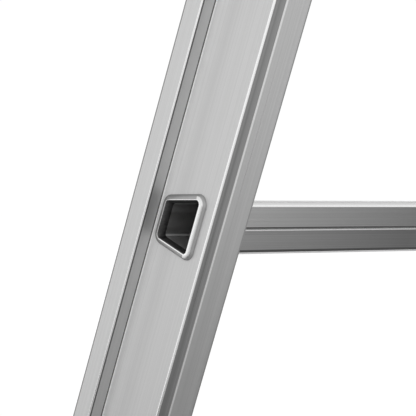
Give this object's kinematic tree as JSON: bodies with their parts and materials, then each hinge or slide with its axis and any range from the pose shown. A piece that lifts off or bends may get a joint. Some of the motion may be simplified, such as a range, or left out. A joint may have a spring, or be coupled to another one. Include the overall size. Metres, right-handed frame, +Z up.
{
  "type": "extension ladder",
  "caption": "Two-section aluminium push-up extension ladder leaning at its working angle, with hollow trapezoid rungs, a stabiliser bar and sprung rung hooks.",
  "frame": {"origin": "on the floor midway between the two feet, on the line where the rails' middle plane meets the floor", "axes": "+Z up, +Y towards the wall that the ladder leans on, X across the ladder; the rails lean 23 degrees from upright towards +Y"},
  "size_m": [0.866, 1.1092, 2.5148],
  "materials": {
    "rail_aluminium": "satin, drawn lines along the rail",
    "rung_aluminium": "satin, drawn lines along the rung, swaged ends brighter",
    "bar_aluminium": "satin, drawn lines along the bar",
    "rivet_aluminium": "bright, pressed",
    "zinc_steel": "zinc plated sheet",
    "bolt_steel": "zinc plated, turned",
    "spring_steel": "bright drawn wire",
    "hook_casting": "cast, slightly grainy",
    "black_plastic": "moulded, fine grain",
    "grey_plastic": "moulded, smooth",
    "rubber": "ribbed, matt"
  },
  "bodies": {
    "base": {"base_rail_right": "rail_aluminium", "base_rail_left": "rail_aluminium", "base_rung_1": "rung_aluminium", "base_rung_2": "rung_aluminium", "base_rung_3": "rung_aluminium", "base_rung_4": "rung_aluminium", "base_rung_5": "rung_aluminium", "base_rung_6": "rung_aluminium", "base_rung_7": "rung_aluminium", "base_rung_8": "rung_aluminium", "base_rung_9": "rung_aluminium", "base_top_cap_right": "black_plastic", "base_top_cap_left": "black_plastic", "guide_bracket_right": "zinc_steel", "guide_bracket_left": "zinc_steel", "guide_liner_right": "grey_plastic", "guide_liner_left": "grey_plastic", "base_slide_pad_right": "grey_plastic", "base_slide_pad_left": "grey_plastic", "guide_rivets": "rivet_aluminium", "foot_rivets": "rivet_aluminium", "stabiliser_bar": "bar_aluminium", "stabiliser_foot_right": "rubber", "stabiliser_foot_left": "rubber", "foot_bracket_right": "zinc_steel", "foot_bracket_left": "zinc_steel", "stabiliser_bolts": "bolt_steel", "stabiliser_nuts": "bolt_steel"},
    "fly": {"fly_rail_right": "rail_aluminium", "fly_rail_left": "rail_aluminium", "fly_rung_1": "rung_aluminium", "fly_rung_2": "rung_aluminium", "fly_rung_3": "rung_aluminium", "fly_rung_4": "rung_aluminium", "fly_rung_5": "rung_aluminium", "fly_rung_6": "rung_aluminium", "fly_rung_7": "rung_aluminium", "fly_rung_8": "rung_aluminium", "fly_top_cap_right": "black_plastic", "fly_top_cap_left": "black_plastic", "fly_bottom_cap_right": "black_plastic", "fly_bottom_cap_left": "black_plastic", "keeper_bracket_right": "zinc_steel", "keeper_bracket_left": "zinc_steel", "hook_bracket_right": "zinc_steel", "hook_bracket_left": "zinc_steel", "keeper_liner_right": "grey_plastic", "keeper_liner_left": "grey_plastic", "fly_slide_pad_right": "grey_plastic", "fly_slide_pad_left": "grey_plastic", "keeper_rivets": "rivet_aluminium", "hook_rivets": "rivet_aluminium", "hook_pin_right": "bolt_steel", "hook_pin_left": "bolt_steel", "hook_spring_right": "spring_steel", "hook_spring_left": "spring_steel"},
    "right_hook": {"rung_hook_right": "hook_casting"},
    "left_hook": {"rung_hook_left": "hook_casting"}
  },
  "joints": [
    {"name": "fly_slide", "type": "slide", "parent": "base", "child": "fly", "axis": [0, 0.3907, 0.9205], "range_m": [0, 1.68]},
    {"name": "right_hook_swing", "type": "hinge", "parent": "fly", "child": "right_hook", "pos_m": [0, 0.17921, 0.57575], "axis": [1, 0, 0], "range_deg": [0, 95], "stiffness_Nm_per_rad": 0.1, "springref_deg": -28.65},
    {"name": "left_hook_swing", "type": "hinge", "parent": "fly", "child": "left_hook", "pos_m": [0, 0.17921, 0.57575], "axis": [1, 0, 0], "range_deg": [0, 95], "stiffness_Nm_per_rad": 0.1, "springref_deg": -28.65}
  ]
}
